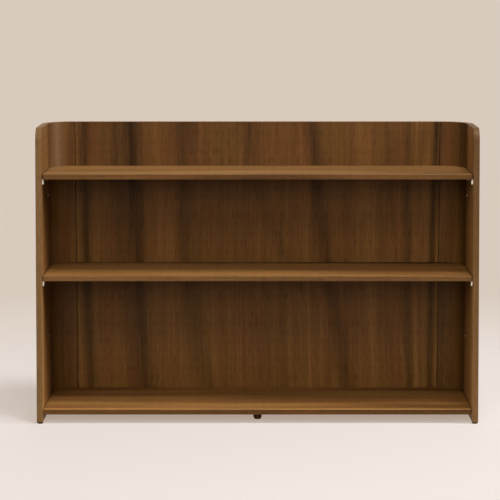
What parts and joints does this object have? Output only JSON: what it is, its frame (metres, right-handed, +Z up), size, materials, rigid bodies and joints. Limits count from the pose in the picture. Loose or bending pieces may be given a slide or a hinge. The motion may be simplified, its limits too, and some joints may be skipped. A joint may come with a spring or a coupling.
{
  "type": "children's bookcase",
  "caption": "Low open bookcase with round rear corners, raked sides, a fixed bottom shelf, loose shelves on pins and a levelling centre foot.",
  "frame": {"origin": "on the floor, at the middle of the width and of the depth", "axes": "+X to the right when facing the front, +Y from the front to the back, +Z up"},
  "size_m": [1.22, 0.3169, 0.814],
  "materials": {
    "walnut_upright": "satin walnut veneer, grain upright",
    "walnut_shelf": "satin walnut veneer, grain along the shelf",
    "birch_plywood": "raw",
    "beech": "raw",
    "nickel": "bright nickel plate",
    "zinc": "cast zinc",
    "glide_plastic": "matt",
    "foot_plastic": "satin",
    "rubber": "matt"
  },
  "bodies": {
    "case": {"left_side_panel": "walnut_upright", "right_side_panel": "walnut_upright", "left_corner_panel": "walnut_upright", "right_corner_panel": "walnut_upright", "back_panel": "walnut_upright", "bottom_shelf": "walnut_shelf", "left_side_spline": "birch_plywood", "left_back_spline": "birch_plywood", "right_side_spline": "birch_plywood", "right_back_spline": "birch_plywood", "dowel_left_front": "beech", "dowel_left_rear": "beech", "dowel_right_front": "beech", "dowel_right_rear": "beech", "left_side_lock_screw_lower": "nickel", "left_side_lock_screw_upper": "nickel", "left_back_lock_screw_lower": "nickel", "left_back_lock_screw_upper": "nickel", "right_side_lock_screw_lower": "nickel", "right_side_lock_screw_upper": "nickel", "right_back_lock_screw_lower": "nickel", "right_back_lock_screw_upper": "nickel", "back_screw_left": "nickel", "back_screw_centre": "nickel", "back_screw_right": "nickel", "middle_shelf_pin_left_front": "nickel", "middle_shelf_pin_left_rear": "nickel", "middle_shelf_pin_right_front": "nickel", "middle_shelf_pin_right_rear": "nickel", "top_shelf_pin_left_front": "nickel", "top_shelf_pin_left_rear": "nickel", "top_shelf_pin_right_front": "nickel", "top_shelf_pin_right_rear": "nickel", "cam_left_front": "zinc", "cam_left_rear": "zinc", "cam_right_front": "zinc", "cam_right_rear": "zinc", "cam_bolt_left_front": "zinc", "cam_bolt_left_rear": "zinc", "cam_bolt_right_front": "zinc", "cam_bolt_right_rear": "zinc", "centre_foot_insert": "zinc", "left_front_glide": "glide_plastic", "left_corner_glide": "glide_plastic", "right_front_glide": "glide_plastic", "right_corner_glide": "glide_plastic"},
    "middle_shelf": {"middle_shelf": "walnut_shelf"},
    "top_shelf": {"top_shelf": "walnut_shelf"},
    "centre_foot_pad": {"centre_foot_pad": "rubber"},
    "centre_foot": {"centre_foot": "foot_plastic", "centre_foot_stud": "zinc"}
  },
  "joints": [
    {"name": "middle_shelf_slide", "type": "slide", "parent": "case", "child": "middle_shelf", "axis": [0, -1, 0], "range_m": [0, 0.28]},
    {"name": "top_shelf_slide", "type": "slide", "parent": "case", "child": "top_shelf", "axis": [0, -1, 0], "range_m": [0, 0.26]},
    {"name": "centre_foot_travel", "type": "slide", "parent": "case", "child": "centre_foot_pad", "axis": [0, 0, 1], "range_m": [-0.0063, 0]},
    {"name": "centre_foot_turn", "type": "hinge", "parent": "centre_foot_pad", "child": "centre_foot", "pos_m": [0, -0.0885, 0], "axis": [0, 0, 1], "range_deg": [-1800, 0]}
  ],
  "couplings": [
    {"joint": "centre_foot_travel", "follows": "centre_foot_turn", "m_per_rad": 0.00019894}
  ]
}
